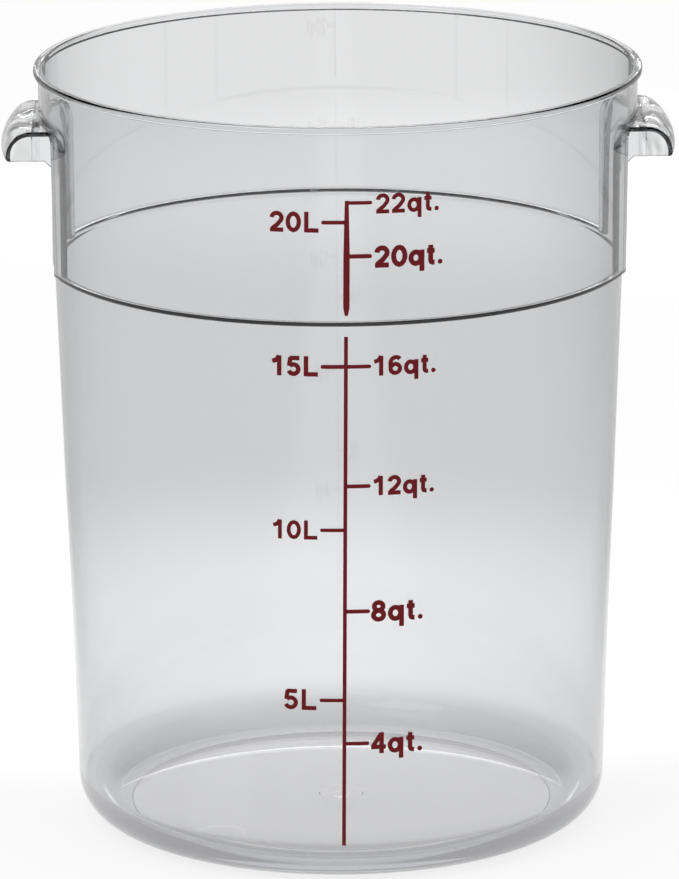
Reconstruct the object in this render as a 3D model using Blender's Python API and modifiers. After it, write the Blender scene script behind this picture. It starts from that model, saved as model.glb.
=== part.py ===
"""Round food storage container: one clear polycarbonate moulding and its printed volume scale.

The tub stands on the ground at the origin. The scale faces -Y and the two handles point along X.
"""
from math import atan, cos, pi, radians, sin, sqrt

import bmesh
import bpy
from mathutils import Vector

# Tub, in metres: the tapered lower wall, and the wider collar that stands out above its ledge
BODY_RADIUS = 0.1436
BODY_TAPER = 0.0095
LEDGE_HEIGHT = 0.2903
COLLAR_HEIGHT = 0.0997
COLLAR_STEP = 0.0058
COLLAR_DRAFT = 0.0014
WALL = 0.0025
LEDGE_THICKNESS = 0.0030
LEDGE_EDGE_RADIUS = 0.0018
LEDGE_FILLET = 0.0008

# Rim lip
LIP_OVERHANG = 0.0022
LIP_HEIGHT = 0.0035
LIP_EDGE_RADIUS = 0.0009
LIP_FILLET = 0.0010

# Foot, floor, and the gate mark under the middle of the floor
FOOT_RADIUS = 0.0205
FOOT_RING_WIDTH = 0.0063
FOOT_RING_EDGE = 0.0012
FLOOR_HEIGHT = 0.0075
FLOOR_THICKNESS = 0.0030
GATE_WELL_RADIUS = 0.0115
GATE_WELL_DEPTH = 0.0007
GATE_RADIUS = 0.0022
GATE_HEIGHT = 0.0012

# Finger recess under each handle
RECESS_STEP = 0.0010
RECESS_WIDTH = 0.0850
RECESS_CORNER = 0.0030
RECESS_BROW = 0.0130

# Hood handles: a level plate that curves down to a lip, closed by a web at each end
HOOD_BELOW_RIM = 0.0260
HOOD_LENGTH = 0.0775
HOOD_REACH = 0.0201
HOOD_BROW = 0.0125
HOOD_DROP = 0.0150
HOOD_WALL = 0.0026
HOOD_BOW = 0.0032
HOOD_LIP_RADIUS = 0.0018
HOOD_END_RADIUS = 0.0010
GUSSET_REACH = 0.0077
GUSSET_DROP = 0.0075

# Printed scale: a stem on each wall, with ticks for litres on the left and quarts on the right
INK_THICKNESS = 0.0004
INK_GAP = 0.0003
STEM_WIDTH = 0.0026
TICK_WIDTH = 0.0024
TICK_REACH = 0.0120
STEM_ABOVE_LEDGE = 0.0058
STEM_BELOW_LEDGE = 0.0061
STEM_ABOVE_FOOT = 0.0005
TOP_TICK = "quart_tick_22"
COLLAR_TICK_SHARES = {TOP_TICK: 0.6245, "litre_tick_20": 0.5272, "quart_tick_20": 0.3572}
BODY_TICK_SHARES = {
    "quart_tick_16": 0.9264,
    "litre_tick_15": 0.9264,
    "quart_tick_12": 0.7162,
    "litre_tick_10": 0.6387,
    "quart_tick_08": 0.4939,
    "litre_tick_05": 0.3350,
    "quart_tick_04": 0.2570,
}

# How finely the shapes are divided
TURN_STEPS = 80
FOOT_STEPS = 7
EDGE_STEPS = 2
CORNER_STEPS = 6
HOOD_STEPS = 8
END_STEPS = 2
BROW_STEPS = 8
MARK_STEPS = 5
SHARP_ANGLE = radians(35.0)

# Directions in a profile, as angles counted from +X towards +Z
OUTWARD = 0
UP = pi / 2
INWARD = pi
DOWN = -pi / 2

# How far a cutter runs past the surface it cuts, and the weld distance of a turned mesh
OVERRUN = 0.0040
WELD = 0.00001

# Places that follow from the sizes above
HEIGHT = LEDGE_HEIGHT + COLLAR_HEIGHT
LEDGE_TOP = LEDGE_HEIGHT + LEDGE_THICKNESS
COLLAR_RADIUS = BODY_RADIUS + COLLAR_STEP
RECESS_RADIUS = BODY_RADIUS + RECESS_STEP
HOOD_TOP = HEIGHT - HOOD_BELOW_RIM
HOOD_CEILING = HOOD_TOP - HOOD_WALL
HOOD_BOTTOM = HOOD_TOP - HOOD_DROP
HOOD_OUTER = COLLAR_RADIUS + HOOD_REACH
HOOD_HALF = HOOD_LENGTH / 2

PART_COLLECTION = "food_storage_container"
CUTTER_COLLECTION = "container_cutters"


def body_radius(height):
    """Outer radius of the tapered lower wall at a height."""
    return BODY_RADIUS - BODY_TAPER * (1 - height / LEDGE_HEIGHT)


def collar_radius(height):
    """Outer radius of the collar, which opens by its draft towards the rim."""
    return COLLAR_RADIUS + COLLAR_DRAFT * (height - LEDGE_HEIGHT) / COLLAR_HEIGHT


def wall_radius(height):
    """Outer radius of whichever wall stands at a height."""
    if height > LEDGE_HEIGHT:
        return collar_radius(height)
    return body_radius(height)


def arc(centre, radii, start, end, steps):
    """Points of an arc in the XZ plane, its angles counted from +X towards +Z."""
    angles = [start + (end - start) * step / steps for step in range(steps + 1)]
    return [(centre[0] + radii[0] * cos(a), centre[1] + radii[1] * sin(a)) for a in angles]


def rounded(corner, radius, side, start, end):
    """Rounds a profile's corner; side is the way from the corner to the arc's centre, in X and Z."""
    centre = (corner[0] + side[0] * radius, corner[1] + side[1] * radius)
    return arc(centre, (radius, radius), start, end, EDGE_STEPS)


def foot_arc(inset, floor_height, radius):
    """The curve from the tapered wall round into the floor, tangent to both."""
    lean = atan(BODY_TAPER / LEDGE_HEIGHT)
    centre_z = floor_height + radius
    centre_x = body_radius(centre_z) - (inset + radius) / cos(lean)
    return arc((centre_x, centre_z), (radius, radius), -lean, DOWN, FOOT_STEPS)


def outer_profile():
    """Outer side of the tub, from the axis at the rim down to the axis under the floor."""
    lip_radius = collar_radius(HEIGHT) + LIP_OVERHANG
    lip_bottom = HEIGHT - LIP_HEIGHT
    points = [(0, HEIGHT)]
    points += rounded((lip_radius, HEIGHT), LIP_EDGE_RADIUS, (-1, -1), UP, OUTWARD)
    points += rounded((lip_radius, lip_bottom), LIP_EDGE_RADIUS, (-1, 1), OUTWARD, DOWN)
    points += rounded((collar_radius(lip_bottom), lip_bottom), LIP_FILLET, (1, -1), UP, INWARD)
    points += rounded((COLLAR_RADIUS, LEDGE_HEIGHT), LEDGE_EDGE_RADIUS, (-1, 1), OUTWARD, DOWN)
    points += rounded((BODY_RADIUS, LEDGE_HEIGHT), LEDGE_FILLET, (1, -1), UP, INWARD)
    points += foot_arc(0, 0, FOOT_RADIUS)
    return points + underside(points[-1][0] - FOOT_RING_WIDTH)


def underside(ring_inner):
    """The raised floor inside the foot ring, with the shallow gate well and its stub."""
    floor = FLOOR_HEIGHT - FLOOR_THICKNESS
    well = floor + GATE_WELL_DEPTH
    stub = well - GATE_HEIGHT
    points = [(ring_inner, 0)]
    points += rounded((ring_inner, floor), FOOT_RING_EDGE, (-1, -1), OUTWARD, UP)
    points += [(GATE_WELL_RADIUS, floor), (GATE_WELL_RADIUS - GATE_WELL_DEPTH, well)]
    return points + [(GATE_RADIUS, well), (GATE_RADIUS, stub), (0, stub)]


def cavity_profile():
    """Inner side of the tub, from the axis above the rim down to the middle of the floor."""
    mouth = collar_radius(HEIGHT) - WALL
    points = [(0, HEIGHT + OVERRUN), (mouth + LIP_EDGE_RADIUS, HEIGHT + OVERRUN)]
    points += rounded((mouth, HEIGHT), LIP_EDGE_RADIUS, (1, -1), UP, INWARD)
    points += rounded((COLLAR_RADIUS - WALL, LEDGE_TOP), LEDGE_EDGE_RADIUS, (-1, 1), OUTWARD, DOWN)
    points += rounded((BODY_RADIUS - WALL, LEDGE_TOP), LEDGE_FILLET, (1, -1), UP, INWARD)
    points += foot_arc(WALL, FLOOR_HEIGHT, FOOT_RADIUS - WALL)
    return points + [(0, FLOOR_HEIGHT)]


def new_object(name, mesh, collection):
    made = bpy.data.objects.new(name, mesh)
    collection.objects.link(made)
    return made


def mark_cutter(cutter):
    """A cutter shows as wires and stays out of renders."""
    cutter.hide_render = True
    cutter.display_type = "WIRE"
    return cutter


def turned(name, profile, collection, closed=False):
    """A profile in the XZ plane, turned about Z by a Screw modifier."""
    last = len(profile) - 1
    edges = [(i, i + 1) for i in range(last)]
    if closed:
        edges.append((last, 0))
    mesh = bpy.data.meshes.new(name)
    mesh.from_pydata([(x, 0, z) for x, z in profile], edges, [])
    made = new_object(name, mesh, collection)
    screw = made.modifiers.new("turn", "SCREW")
    screw.steps = TURN_STEPS
    screw.render_steps = TURN_STEPS
    screw.use_merge_vertices = True
    screw.merge_threshold = WELD
    return made


def combine(target, operation, other):
    """Adds a Boolean modifier to the target."""
    step = target.modifiers.new(other.name, "BOOLEAN")
    step.operation = operation
    step.object = other
    step.solver = "EXACT"


def slot_bar(name, width, low, high, corner, collection):
    """A bar along X through both sides of the tub, with its two upper edges rounded."""
    length = (HOOD_OUTER + OVERRUN) * 2
    middle = (low + high) / 2
    bm = bmesh.new()
    bmesh.ops.create_cube(bm, size=1)
    bmesh.ops.scale(bm, vec=(length, width, high - low), verts=bm.verts)
    bmesh.ops.translate(bm, vec=(0, 0, middle), verts=bm.verts)
    upper = [e for e in bm.edges if min(v.co.z for v in e.verts) > middle
             and e.verts[0].co.y == e.verts[1].co.y]
    bmesh.ops.bevel(bm, geom=upper, offset=corner, segments=CORNER_STEPS, profile=0.5, affect="EDGES")
    mesh = bpy.data.meshes.new(name)
    bm.to_mesh(mesh)
    bm.free()
    return mark_cutter(new_object(name, mesh, collection))


def side_pockets(name, spread, low, top, collection):
    """The two places beside the handles; a spread makes them wider, and deeper into the tub.

    Each is upright at its back and rounds out to the collar's wall at its top.
    """
    reach = collar_radius(HOOD_TOP) - RECESS_RADIUS + spread - WALL
    centre = (collar_radius(HOOD_TOP) - WALL, HOOD_TOP - RECESS_BROW)
    curve = arc(centre, (reach, RECESS_BROW + spread - WALL), INWARD, UP, BROW_STEPS)[:-1]
    corners = [(HOOD_OUTER, top + OVERRUN), (HOOD_OUTER, low - OVERRUN), (centre[0] - reach, low - OVERRUN)]
    corners += curve + [(centre[0], top + OVERRUN)]
    ring = mark_cutter(turned(name + "_ring", corners, collection, closed=True))
    pockets = slot_bar(name, RECESS_WIDTH + spread * 2, low, top, RECESS_CORNER + spread, collection)
    combine(pockets, "INTERSECT", ring)
    return pockets


def chord_x(radius):
    """X of a circle about the axis where a hood's end face crosses it, before the hood is bowed."""
    return sqrt(radius ** 2 - HOOD_HALF ** 2) + HOOD_BOW


def brow(inset):
    """The hood's section from its level plate round to its lip."""
    centre = (HOOD_OUTER - HOOD_BROW, HOOD_BOTTOM + HOOD_LIP_RADIUS)
    return arc(centre, (HOOD_BROW - inset, HOOD_TOP - centre[1] - inset), UP, OUTWARD, BROW_STEPS)


def hood_outline(inset):
    """Section of a whole hood: plate, brow, lip, level foot and the gusset down the wall."""
    root = chord_x(RECESS_RADIUS - WALL / 2)
    wall = chord_x(RECESS_RADIUS)
    foot = HOOD_BOTTOM + inset
    lip = rounded((HOOD_OUTER - inset, foot), HOOD_LIP_RADIUS - inset, (-1, 1), OUTWARD, DOWN)
    points = [(root, HOOD_TOP - inset)] + brow(inset) + lip[1:]
    return points + [(wall + GUSSET_REACH, foot), (wall, foot - GUSSET_DROP), (root, foot - GUSSET_DROP)]


def hollow_outline():
    """Section of the finger space under a hood, run past its root and its foot."""
    root = chord_x(RECESS_RADIUS - WALL / 2) - OVERRUN
    curve = brow(HOOD_WALL)
    low = HOOD_BOTTOM - GUSSET_DROP - OVERRUN
    return [(root, HOOD_CEILING)] + curve + [(curve[-1][0], low), (root, low)]


def bow(y):
    """How far the hood's front curves back at a place along it."""
    radius = (HOOD_HALF ** 2 + HOOD_BOW ** 2) / (HOOD_BOW * 2)
    return radius - sqrt(radius ** 2 - y ** 2)


def hood_stations():
    """Places along a hood, each with how far the section draws in there to round the ends."""
    turns = [pi / 2 * step / END_STEPS for step in range(END_STEPS)]
    ends = [(HOOD_HALF - HOOD_END_RADIUS * (1 - cos(t)), HOOD_END_RADIUS * (1 - sin(t))) for t in turns]
    straight = HOOD_HALF - HOOD_END_RADIUS
    middle = [(straight * (1 - step * 2 / HOOD_STEPS), 0) for step in range(HOOD_STEPS + 1)]
    return ends + middle + [(-y, inset) for y, inset in reversed(ends)]


def lofted(name, sections, collection):
    """A closed form through sections across it, each a place along Y and its points in X and Z."""
    points = [(x - bow(y), y, z) for y, section in sections for x, z in section]
    count = len(sections[0][1])
    faces = [tuple(range(count)), tuple(reversed(range(len(points) - count, len(points))))]
    for start in range(0, len(points) - count, count):
        for i in range(count):
            j = (i + 1) % count
            faces.append((start + i, start + count + i, start + count + j, start + j))
    mesh = bpy.data.meshes.new(name)
    mesh.from_pydata(points, [], faces)
    return mark_cutter(new_object(name, mesh, collection))


def hood_pair(collection):
    """Both hoods, hollow from below; the second is the mirror image of the first."""
    hoods = lofted("hoods", [(y, hood_outline(inset)) for y, inset in hood_stations()], collection)
    inner = (HOOD_HALF - HOOD_WALL) / HOOD_HALF
    hollow_sections = [(y * inner, hollow_outline()) for y, inset in hood_stations() if not inset]
    hollow = lofted("finger_space", hollow_sections, collection)
    combine(hoods, "DIFFERENCE", hollow)
    mirror = hoods.modifiers.new("other_side", "MIRROR")
    mirror.use_mirror_merge = False
    return hoods


def container_body(parts, cutters):
    """The moulding: a turned tub, recessed at both sides, joined to its hoods, then hollowed."""
    body = turned("container_body", outer_profile(), parts)
    recess = side_pockets("recess", 0, LEDGE_HEIGHT - OVERRUN, HOOD_CEILING, cutters)
    combine(body, "DIFFERENCE", recess)
    combine(body, "UNION", hood_pair(cutters))
    cavity = mark_cutter(turned("cavity", cavity_profile(), cutters))
    recess_back = side_pockets("recess_back", WALL, LEDGE_HEIGHT, HOOD_TOP, cutters)
    combine(cavity, "DIFFERENCE", recess_back)
    combine(body, "DIFFERENCE", cavity)
    bake(body)
    body.data.materials.append(clear_polycarbonate())
    return body


def bake(target):
    """Keeps the shape that the modifiers give, with its round faces shaded smooth."""
    shaped = target.evaluated_get(bpy.context.evaluated_depsgraph_get())
    mesh = bpy.data.meshes.new_from_object(shaped)
    mesh.name = target.name
    target.modifiers.clear()
    target.data = mesh
    mesh.shade_smooth()
    mesh.set_sharp_from_angle(angle=SHARP_ANGLE)


def wall_point(along, height):
    """A point in front of the wall, by its distance round from the scale's middle and its height."""
    reach = wall_radius(height) + INK_GAP
    angle = along / reach
    return Vector((reach * sin(angle), -reach * cos(angle), height))


def round_tip(length, half_width):
    """Stations of a mark's round tip, as distance along the mark and half its width there."""
    turns = [pi / 2 * (MARK_STEPS - step) / MARK_STEPS for step in range(MARK_STEPS)]
    return [(length - half_width * (1 - cos(t)), half_width * sin(t)) for t in turns]


def ink_strip(name, pairs, collection, ink):
    """A strip of ink between pairs of points, thickened outwards."""
    faces = [(2 * i, 2 * i + 1, 2 * i + 3, 2 * i + 2) for i in range(len(pairs) - 1)]
    mesh = bpy.data.meshes.new(name)
    mesh.from_pydata([point for pair in pairs for point in pair], [], faces)
    if mesh.polygons[0].normal.y > 0:
        mesh.flip_normals()
    strip = new_object(name, mesh, collection)
    solid = strip.modifiers.new("ink", "SOLIDIFY")
    solid.thickness = INK_THICKNESS
    solid.offset = 1
    mesh.materials.append(ink)
    return strip


def stem(name, low, high, collection, ink):
    """An upright line of the scale with round tips."""
    half = STEM_WIDTH / 2
    middle = (low + high) / 2
    upper = round_tip(high - middle, half)
    stations = [(-along, width) for along, width in reversed(upper)] + upper
    pairs = [(wall_point(-w, middle + s), wall_point(w, middle + s)) for s, w in stations]
    return ink_strip(name, pairs, collection, ink)


def tick(name, height, collection, ink):
    """A level mark beside the stem: litres reach to the left, quarts to the right."""
    side = -1 if name.startswith("litre") else 1
    start = STEM_WIDTH / 2 + INK_GAP
    half = TICK_WIDTH / 2
    straight = TICK_REACH - half - start
    stations = [(start + straight * step / MARK_STEPS, half) for step in range(MARK_STEPS)]
    stations += round_tip(TICK_REACH, half)
    pairs = [(wall_point(side * s, height - w), wall_point(side * s, height + w)) for s, w in stations]
    return ink_strip(name, pairs, collection, ink)


def printed_scale(parts):
    """The two stems, and a tick for each volume."""
    ink = scale_ink()
    heights = {name: LEDGE_HEIGHT + COLLAR_HEIGHT * share for name, share in COLLAR_TICK_SHARES.items()}
    heights |= {name: LEDGE_HEIGHT * share for name, share in BODY_TICK_SHARES.items()}
    top = heights[TOP_TICK] + TICK_WIDTH / 2
    stem("upper_scale_stem", LEDGE_HEIGHT + STEM_ABOVE_LEDGE, top, parts, ink)
    stem("lower_scale_stem", FOOT_RADIUS + STEM_ABOVE_FOOT, LEDGE_HEIGHT - STEM_BELOW_LEDGE, parts, ink)
    for name, height in heights.items():
        tick(name, height, parts, ink)


def material(name, colour, roughness):
    made = bpy.data.materials.new(name)
    made.use_nodes = True
    shader = made.node_tree.nodes["Principled BSDF"]
    shader.inputs["Base Color"].default_value = (*colour, 1)
    shader.inputs["Roughness"].default_value = roughness
    shader.inputs["Metallic"].default_value = 0
    return made


def clear_polycarbonate():
    """Clear moulded polycarbonate with a faint cool tint."""
    made = material("clear_polycarbonate", (0.93, 0.95, 0.96), 0.05)
    shader = made.node_tree.nodes["Principled BSDF"]
    shader.inputs["Transmission Weight"].default_value = 1
    shader.inputs["IOR"].default_value = 1.585
    return made


def scale_ink():
    """Dark red screen-printing ink."""
    return material("scale_ink", (0.19, 0.013, 0.018), 0.35)


def clear_scene():
    for old in list(bpy.data.objects):
        bpy.data.objects.remove(old)


def new_collection(name):
    made = bpy.data.collections.new(name)
    bpy.context.scene.collection.children.link(made)
    return made


def main():
    clear_scene()
    parts = new_collection(PART_COLLECTION)
    cutters = new_collection(CUTTER_COLLECTION)
    container_body(parts, cutters)
    printed_scale(parts)


main()
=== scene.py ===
"""Visual model of a clear round food storage container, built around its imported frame.

Each operator makes one group of pieces, in metres and in the frame's own coordinates. Run as a
script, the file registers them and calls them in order.
"""
from math import atan, cos, pi, radians, sin, sqrt

import bmesh
import bpy
from bpy.props import FloatProperty, FloatVectorProperty, PointerProperty
from mathutils import Matrix, Vector


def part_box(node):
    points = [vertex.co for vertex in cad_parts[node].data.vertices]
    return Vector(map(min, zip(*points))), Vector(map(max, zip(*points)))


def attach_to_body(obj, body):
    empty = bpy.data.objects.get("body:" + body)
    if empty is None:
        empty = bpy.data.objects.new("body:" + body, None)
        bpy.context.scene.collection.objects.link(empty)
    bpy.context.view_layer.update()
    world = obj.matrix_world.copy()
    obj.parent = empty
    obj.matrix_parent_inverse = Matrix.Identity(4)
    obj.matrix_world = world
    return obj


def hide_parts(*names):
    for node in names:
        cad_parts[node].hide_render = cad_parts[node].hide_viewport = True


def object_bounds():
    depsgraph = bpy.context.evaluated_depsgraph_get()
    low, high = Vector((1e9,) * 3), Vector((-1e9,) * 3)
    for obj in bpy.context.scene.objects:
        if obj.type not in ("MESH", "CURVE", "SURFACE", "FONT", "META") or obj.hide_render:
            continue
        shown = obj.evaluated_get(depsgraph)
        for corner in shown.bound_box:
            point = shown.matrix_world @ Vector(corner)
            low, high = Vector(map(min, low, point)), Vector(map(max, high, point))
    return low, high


bl_info = {
    "name": "Clear food storage container",
    "version": (1, 0, 0),
    "blender": (4, 5, 0),
    "location": "3D View > Sidebar > Container",
    "description": "Builds a clear graduated food storage tub with hood handles",
    "category": "Add Mesh",
}

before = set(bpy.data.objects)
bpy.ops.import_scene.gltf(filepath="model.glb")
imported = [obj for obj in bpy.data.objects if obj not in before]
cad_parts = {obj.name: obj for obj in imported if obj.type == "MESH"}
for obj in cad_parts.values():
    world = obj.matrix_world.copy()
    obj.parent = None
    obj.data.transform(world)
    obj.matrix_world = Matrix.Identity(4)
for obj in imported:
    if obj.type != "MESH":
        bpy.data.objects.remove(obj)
CAD_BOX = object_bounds()

# Sizes that the frame gives
HEIGHT = CAD_BOX[1].z
RIM_RADIUS = CAD_BOX[1].y
HOOD_OUTER = CAD_BOX[1].x
HOOD_BELOW_RIM = 0.0260
HOOD_TOP = HEIGHT - HOOD_BELOW_RIM

# How finely the shapes are divided
TURN_STEPS = 240
FOOT_STEPS = 24
EDGE_STEPS = 10
CORNER_STEPS = 14
SIDE_STEPS = 10
TOP_STEPS = 48
FLARE_STEPS = 6
HOOD_STEPS = 32
HOOD_END_STEPS = 5
BROW_STEPS = 24
PEN_STEPS = 14
TICK_STEPS = 6
TIP_STEPS = 5
SHARP_ANGLE = radians(38.0)

# Directions in a profile, as angles counted from +X towards +Z
OUTWARD = 0
UP = pi / 2
INWARD = pi
DOWN = -pi / 2

# How far a cutter runs past what it cuts, how far a flare stands off its surface, and the weld distance
OVERRUN = 0.0040
STANDOFF = 0.00002
WELD = 0.00001

# Small sizes of the moulding
FOOT_RING_EDGE = 0.0012
GATE_WELL_DEPTH = 0.0007
GATE_STUB_RADIUS = 0.0033
GATE_STUB_HEIGHT = 0.0018
MARK_CENTRE = (-0.0617, -0.0642)
MARK_RADIUS = 0.0127
MARK_DEPTH = 0.0004

# A recess: how deep its cutter starts, its inner edges' radii as shares of the wall, and a flare's last angle
RECESS_DEPTH = 0.0180
INNER_EDGE_SHARE = 0.5
OUTER_EDGE_SHARE = 1.0
FLARE_END = radians(80.0)

# Print: the least cosine that a bend is mitred by, and the pointed end of the upper stem
MITRE_LIMIT = 0.5
STEM_TIP = 0.0040

# Plastic: its refraction, and the facing values between which it counts as seen edge on and takes its painted
# edge shade
POLYCARBONATE_IOR = 1.585
EDGE_SHADE_BAND = (0.60, 0.95)

# Scuffs: scale and detail, the noise values between which they come in, and each layer's turn and thinness
SCUFF_SCALE = 90.0
SCUFF_DETAIL = 3.0
SCUFF_BAND = (0.66, 0.74)
SCUFF_LAYERS = ((radians(24.0), 0.06), (radians(-61.0), 0.09))

# Mould waves: how far from the middle they start, over what width they come in, and their shape
WAVES_FROM = 0.1495
WAVE_FADE = 0.004
WAVE_STRETCH = (1.0, 0.35, 0.6)
WAVE_DETAIL = 1.0
WAVE_DISTORTION = 0.6

# Foot: the deeper tone of its painted shade, and where that comes in as distances from the axis and heights
FOOT_SHADE_TONE = 0.84
FOOT_SHADE_OUTWARD = (0.108, 0.122)
FOOT_SHADE_DOWN = (0.030, 0.012)

# Foot: the pale light at its front and back, where it comes in, and after how many reflections and bounces
FOOT_LIGHT = (0.27, 0.257, 0.257)
BACK_FOOT_LIGHT = (0.36, 0.345, 0.345)
FOOT_LIGHT_REACH = 0.09
FOOT_LIGHT_BAND = (0.024, 0.012)
FAR_FOOT_TOP = 0.0048
DEEP_REFLECTIONS = 2.5
FAR_FOOT_DEPTH = 3.5

# Ink: its surface, the scale of its unevenness, and the tones between which it varies
INK_ROUGHNESS = 0.45
INK_SPECULAR = 0.15
INK_GRAIN = 900.0
INK_DETAIL = 4.0
INK_SHADES = (0.75, 1.25)

# Stage: the tone of reflections from the sides, and where it comes in
SIDE_TONE = 0.68
SIDE_ON_FLOOR = (0.14, 0.34)
SIDE_IN_WORLD = (0.20, 0.45)

# Floor: half its width, its depth under the object, its own light, and pools of more light, each with its
# centre, radii, core share and strength
FLOOR_HALF = 14.0
FLOOR_DEPTH = 0.0002
FLOOR_GLOW = 0.80
FLOOR_POOLS = (
    ((-0.02, 0.33, 0), (0.46, 0.36, 1), 0.2, 0.33),
    ((0.20, 1.42, 0), (0.60, 0.36, 1), 0.3, 0.14),
)

# World: its light on the object, and the heights between which its white gives way to the ceiling's tone
WORLD_LIGHT = 0.85
CEILING_BAND = (0.33, 0.45)
CEILING_TONE = 0.0

# Lamps: place and size
LAMPS = {
    "key": ((-1.6, -1.9, 2.6), (1.6, 1.6)),
    "fill": ((2.2, -1.4, 1.6), (1.6, 1.6)),
    "strip": ((0, 12.0, 3.3), (6.0, 0.35)),
}

# Camera: sensor and lens in millimetres, and the height that it looks at
CAMERA_SENSOR = 36.0
CAMERA_LENS = 294.5
CAMERA_AIM_HEIGHT = 0.1941


def number(name, description, default, **kind):
    """A property that holds a number, and no less than 0."""
    return FloatProperty(name=name, description=description, default=default, min=0, **kind)


def length(name, description, default):
    """A property that holds a length in metres."""
    return number(name, description, default, precision=4, unit="LENGTH")


def share(name, description, default):
    """A property that holds a share between nothing and all."""
    return number(name, description, default, max=1, subtype="FACTOR")


def power(name, description, default):
    """A property that holds a lamp's power in watts."""
    return number(name, description, default, unit="POWER")


def colour(name, description, default):
    """A property that holds a colour."""
    return FloatVectorProperty(name=name, description=description, default=default, size=3, min=0,
                               max=1, subtype="COLOR")


def angle(name, description, degrees):
    """A property that holds an angle, given here in degrees."""
    return FloatProperty(name=name, description=description, default=radians(degrees), subtype="ANGLE")


class TubSizes(bpy.types.PropertyGroup):
    """Sizes of the moulded tub."""

    body_radius: length("Lower wall radius", "Outer radius of the lower wall under the ledge", 0.1436)
    body_taper: length("Taper", "How much the lower wall draws in from the ledge to the ground", 0.0095)
    ledge_height: length("Ledge height", "Height of the collar's underside", 0.2903)
    ledge_thickness: length("Ledge thickness", "Thickness of the ledge", 0.0020)
    ledge_edge: length("Ledge edge", "Rounding of the ledge's outer edge", 0.0018)
    ledge_fillet: length("Ledge fillet", "Fillet under the ledge", 0.0008)
    ledge_shoulder: length("Ledge shoulder", "Rounding of the ledge's inner edge", 0.0033)
    ledge_root: length("Ledge root", "Fillet between the ledge and the collar inside", 0.0005)
    collar_draft: length("Collar draft", "How much the collar opens towards the rim", 0.0014)
    wall: length("Wall", "Thickness of the wall", 0.0025)
    lip_overhang: length("Lip overhang", "How far the rim lip stands out from the collar", 0.0022)
    lip_height: length("Lip height", "Height of the rim lip", 0.0035)
    lip_edge: length("Lip edge", "Rounding of the rim's edges", 0.0014)
    lip_fillet: length("Lip fillet", "Fillet under the rim lip", 0.0004)
    foot_radius: length("Foot radius", "Outer radius of the curve into the foot", 0.0205)
    foot_ring: length("Foot ring", "Width of the ring that the tub stands on", 0.0063)
    floor_height: length("Floor height", "Height of the floor's inner side", 0.0057)
    floor_thickness: length("Floor thickness", "Thickness of the floor", 0.0012)
    gate_radius: length("Gate well radius", "Radius of the shallow well round the gate mark", 0.0115)


class HandleSizes(bpy.types.PropertyGroup):
    """Sizes of the hood handles and of the recesses under them."""

    recess_step: length("Recess step", "How far the recessed wall stands out from the lower wall", 0.0010)
    recess_width: length("Recess width", "Width of the recess across the handle side", 0.0850)
    recess_corner: length("Recess corner", "Radius of the recess's upper corners", 0.0030)
    recess_brow: length("Recess brow", "Height over which the recess rounds out to the collar", 0.0130)
    recess_edge: length("Recess edge", "Rounding of the recess's outer edge", 0.0012)
    length: length("Hood length", "Length of a hood along the wall", 0.0775)
    brow: length("Brow", "Depth of the curve from the level plate to the lip", 0.0125)
    drop: length("Drop", "Height from the hood's top to its lip", 0.0150)
    wall: length("Hood wall", "Thickness of a hood's shell", 0.0026)
    bow: length("Bow", "How far a hood's front curves back at its ends", 0.0032)
    lip_radius: length("Lip radius", "Rounding of the hood's lower edge", 0.0018)
    end_radius: length("End radius", "Rounding of the hood's ends", 0.0010)
    gusset_reach: length("Gusset reach", "How far a gusset stands out from the wall", 0.0077)
    gusset_drop: length("Gusset drop", "How far a gusset runs down the wall", 0.0075)


class PrintSizes(bpy.types.PropertyGroup):
    """Sizes of the printed scale."""

    digit_height: length("Digit height", "Height of a printed numeral", 0.0102)
    stroke: share("Stroke", "Width of a numeral's stroke as a share of the digit height", 0.21)
    tick_width: length("Tick width", "Width of a printed tick", 0.0019)
    tick_reach: length("Tick reach", "How far a tick reaches from the stem's middle", 0.0124)
    stem_width: length("Stem width", "Width of the stem on the lower wall", 0.0019)
    stem_swell: length("Stem swell", "How much wider the stem on the collar is at its widest", 0.0012)
    lean: angle("Lean", "How far the print leans from upright", 0.44)
    lean_from: length("Lean from", "Height at which the leaning print is in the middle", 0.165)
    ink_gap: length("Ink gap", "Distance from the wall to the back of the ink", 0.00006)
    ink_thickness: length("Ink thickness", "Thickness of the printed ink", 0.00012)


class Finishes(bpy.types.PropertyGroup):
    """Colours and surface of the materials."""

    tint: colour("Tint", "Colour left in light that passes one wall's surfaces", (0.842, 0.842, 0.848))
    # Painted shade: how light the tint stays where the plastic is seen edge on
    painted_edge_shade: share("Edge tone", "How light the plastic stays where it is seen edge on", 0.78)
    depth_colour: colour("Depth colour", "Colour that the plastic's depth keeps", (0.550, 0.580, 0.600))
    depth_density: number("Depth density", "How fast the plastic darkens with depth", 50)
    gloss: share("Gloss roughness", "Roughness of the polished plastic", 0.0)
    scuffs: share("Scuffs", "How strongly fine scuffs roughen the plastic", 0.06)
    wave_depth: length("Wave depth", "Depth of the shallow waves that moulding left on the hoods", 0.0035)
    wave_scale: number("Wave scale", "How closely those waves stand", 70)
    ink: colour("Ink", "Colour of the printed scale", (0.215, 0.015, 0.020))


class StageSettings(bpy.types.PropertyGroup):
    """Camera, light and floor."""

    camera_distance: length("Camera distance", "Distance from the camera to the object's middle", 3.663)
    camera_pitch: angle("Camera pitch", "Angle that the camera looks down by", 14.96)
    camera_turn: angle("Camera turn", "Angle of the camera round the object", -1.0)
    camera_roll: angle("Camera roll", "Roll of the camera about its view", -0.28)
    floor: colour("Floor", "Colour of the floor", (0.25, 0.25, 0.25))
    key_power: power("Key power", "Power of the large soft light", 16)
    fill_power: power("Fill power", "Power of the fill light", 6)
    strip_power: power("Strip power", "Power of the far strip light behind the object", 20)


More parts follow.
